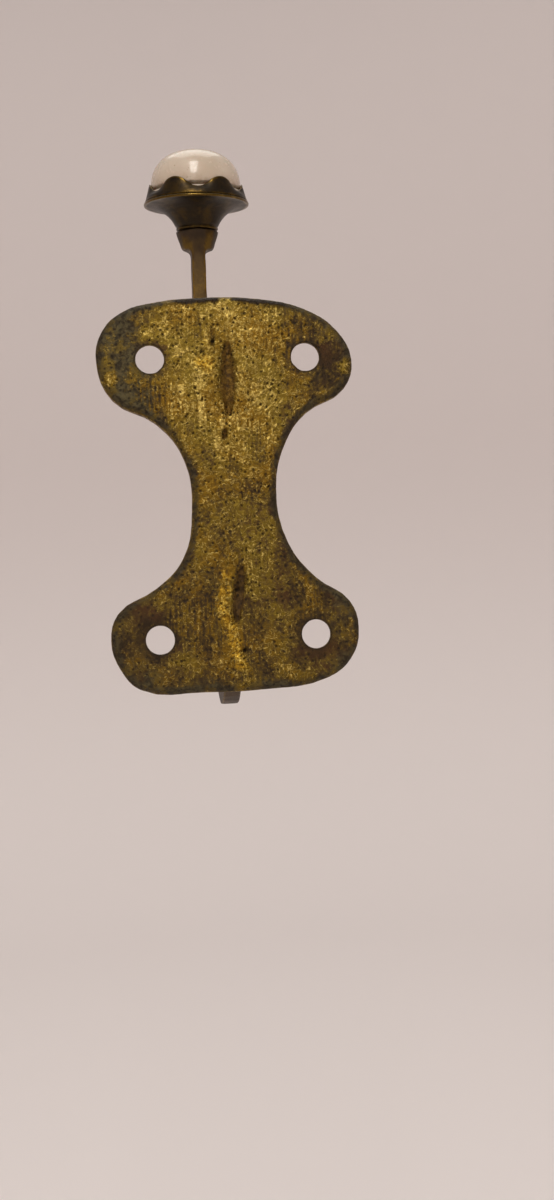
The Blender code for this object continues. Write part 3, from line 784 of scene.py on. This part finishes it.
def make_bezel():
    """The pressed bezel, whose wall leans in and ends in petals over the porcelain."""
    low, high, foot_r = knob_levels("petal_bezel")
    low -= 0.7 * CLOSE_UP
    top = high - PETAL_LIFT
    fold = low + 0.9
    mouth_r = foot_r - BEZEL_LEAN

    def wall(z):
        share = max(0.0, (z - low) / (top - low))
        return foot_r + (mouth_r - foot_r) * share

    rows = 14
    outer = []
    for i in range(rows + 1):
        z = top - (top - low - 0.3) * i / rows
        outer.append((wall(z), z))
    foot = [(wall(low) - 0.04, low + 0.12), (wall(low) - 0.22, low)]
    floor = [(BORE_R, low), (BORE_R, low + BEZEL_SHEET), (wall(low) - 1.0, low + BEZEL_SHEET)]

    def thick(z):
        return BEZEL_SHEET + (BEZEL_TIP_SHEET - BEZEL_SHEET) * max(0.0, (z - low) / (top - low))

    inner = [(r - thick(z), z) for r, z in reversed(outer) if z > low + 0.8]
    lip = [(mouth_r - 0.22, top + 0.07), (mouth_r - 0.08, top + 0.07)]

    def petals(r, z, turn):
        if z > fold:
            share = (z - fold) / (top - fold)
            wave = petal_wave(turn)
            z += share * (wave * PETAL_LIFT - 0.09)
            valley = max(0.0, -wave) ** 2
            if r > foot_r - 3.0:
                r += share * (0.05 * wave - 0.05 + 0.04 * math.sin(5 * turn) - 0.22 * valley)
        return r, z

    obj = lathe("petal_bezel_pressed", lip + outer + foot + floor + inner, petals)

    def worn(radius, height, turn):
        rise = (height - fold) / (top - fold)
        tip = PETAL_LIFT * np.cos(PETALS * turn) / (top - fold)
        return 0.9 * step(rise - tip, 0.70, 0.98) + 0.6 * (1 - step(height, low, low + 0.8))

    store_from_knob(obj, "edge", worn)
    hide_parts("petal_bezel")
    return obj


def make_dome():
    """The glazed dome, its skirt inside the bezel, and the pocket for the stud."""
    low, high, grip_r = knob_levels("porcelain_knob")
    _, bezel_high, bezel_r = knob_levels("petal_bezel")
    shoulder = high - DOME_TALL
    free_r = bezel_r - BEZEL_LEAN - BEZEL_TIP_SHEET - 0.10
    power = 2 / DOME_FULLNESS
    dome = [(0.0, high)]
    rows = 44
    for i in range(1, rows + 1):
        a = math.radians(90 - 90 * i / rows)
        r = free_r * max(math.cos(a), 0.0) ** power
        dome.append((r, shoulder + DOME_TALL * math.sin(a) ** power))
    skirt = [(free_r, shoulder - 0.7), (grip_r - 0.1, low + 0.5), (grip_r - 0.6, low)]
    pocket_top = knob_levels("knob_stud")[1] + 0.6
    pocket = [(POCKET_R, low), (POCKET_R, pocket_top), (0, pocket_top)]

    def thrown(r, z, turn):
        return r * (1 + 0.004 * math.sin(2 * turn + 0.6) + 0.002 * math.sin(5 * turn)), z

    obj = lathe("porcelain_dome", dome + skirt + pocket, thrown)

    # Where the glaze carries the petals' painted shade and reflection, strongest at the bezel
    def near_bezel(radius, height, turn):
        return 1 - step(height, bezel_high - 1.6, bezel_high + 1.0)

    store_from_knob(obj, "foot", near_bezel)
    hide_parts("porcelain_knob")
    return obj


# ---------------------------------------------------------------- stage, light, camera

def make_stage():
    """A pale round floor that sweeps up into a pale wall all round."""
    bm = bmesh.new()
    steps = 96
    bends = 16
    profile = [(FLOOR_FLAT_R, 0.0)]
    for i in range(1, bends + 1):
        a = math.radians(90 * i / bends)
        r = FLOOR_FLAT_R + FLOOR_BEND_R * math.sin(a)
        profile.append((r, FLOOR_BEND_R * (1 - math.cos(a))))
    profile.append((FLOOR_FLAT_R + FLOOR_BEND_R, WALL_TALL))
    centre = bm.verts.new((0, 0, FLOOR_Z))
    rings = []
    for r, z in profile:
        ring = []
        for i in range(steps):
            a = 2 * math.pi * i / steps
            ring.append(bm.verts.new((r * math.cos(a), r * math.sin(a), FLOOR_Z + z)))
        rings.append(ring)
    for i in range(steps):
        j = (i + 1) % steps
        bm.faces.new((centre, rings[0][i], rings[0][j]))
        for here, there in zip(rings, rings[1:]):
            bm.faces.new((here[i], there[i], there[j], here[j]))
    bmesh.ops.recalc_face_normals(bm, faces=bm.faces)
    mesh = bpy.data.meshes.new("floor")
    bm.to_mesh(mesh)
    bm.free()
    mesh.shade_smooth()
    floor = add_piece("floor", mesh)
    floor.data.materials.append(pale_paper())


def area_light(name, at, size, power):
    lamp = bpy.data.lights.new(name, "AREA")
    lamp.shape = "RECTANGLE"
    lamp.size, lamp.size_y = size
    lamp.energy = power
    lamp.color = LIGHT_COLOUR
    obj = bpy.data.objects.new(name, lamp)
    bpy.context.scene.collection.objects.link(obj)
    obj.location = at
    direction = Vector(LIGHT_AIM) - Vector(at)
    obj.rotation_euler = direction.to_track_quat("-Z", "Y").to_euler()


def make_lights():
    world = bpy.data.worlds.new("room")
    world.use_nodes = True
    background = world.node_tree.nodes["Background"]
    background.inputs["Color"].default_value = (*WORLD_COLOUR, 1.0)
    background.inputs["Strength"].default_value = WORLD_STRENGTH
    bpy.context.scene.world = world
    for light in LIGHTS:
        area_light(*light)


def make_camera():
    """The camera at the photo's angle, set by its yaw, pitch and roll in degrees."""
    yaw, pitch, roll = (math.radians(a) for a in (CAMERA_YAW, CAMERA_PITCH, CAMERA_ROLL))
    flat = math.cos(pitch)
    forward = Vector((-math.sin(yaw) * flat, -math.cos(yaw) * flat, math.sin(pitch)))
    right = Vector((-math.cos(yaw), math.sin(yaw), 0.0))
    up = right.cross(forward)
    turned_right = math.cos(roll) * right + math.sin(roll) * up
    turned_up = math.cos(roll) * up - math.sin(roll) * right
    lens = bpy.data.cameras.new("camera")
    lens.lens = CAMERA_LENS
    lens.sensor_width = SENSOR_WIDE
    lens.clip_start = 0.005
    camera = bpy.data.objects.new("camera", lens)
    bpy.context.scene.collection.objects.link(camera)
    axes = Matrix((turned_right, turned_up, -forward)).transposed().to_4x4()
    camera.matrix_world = Matrix.Translation(CAMERA_AT) @ axes
    bpy.context.scene.camera = camera


def main():
    make_camera()
    make_lights()
    make_stage()
    finishes = {
        "plate_brass": plate_brass(),
        "arm_brass": arm_brass(),
        "knob_brass": knob_brass(),
        "porcelain": porcelain(),
        "steel": steel(),
        "plaster": plaster(),
    }
    built = [
        (make_plate(), "hook", "plate_brass"),
        (make_arm(), "hook", "arm_brass"),
        (make_base(), "knob", "knob_brass"),
        (make_bezel(), "knob", "knob_brass"),
        (make_dome(), "knob", "porcelain"),
    ]
    for piece, body, slot in built:
        piece.data.materials.clear()
        piece.data.materials.append(finishes[slot])
        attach(piece, body)
    for node, slot in (("knob_stud", "steel"), ("knob_nut", "steel"), ("knob_cement", "plaster")):
        for holder in frame["nodes"][node].material_slots:
            holder.material = finishes[slot]
    bpy.context.scene.view_settings.view_transform = "Standard"


main()
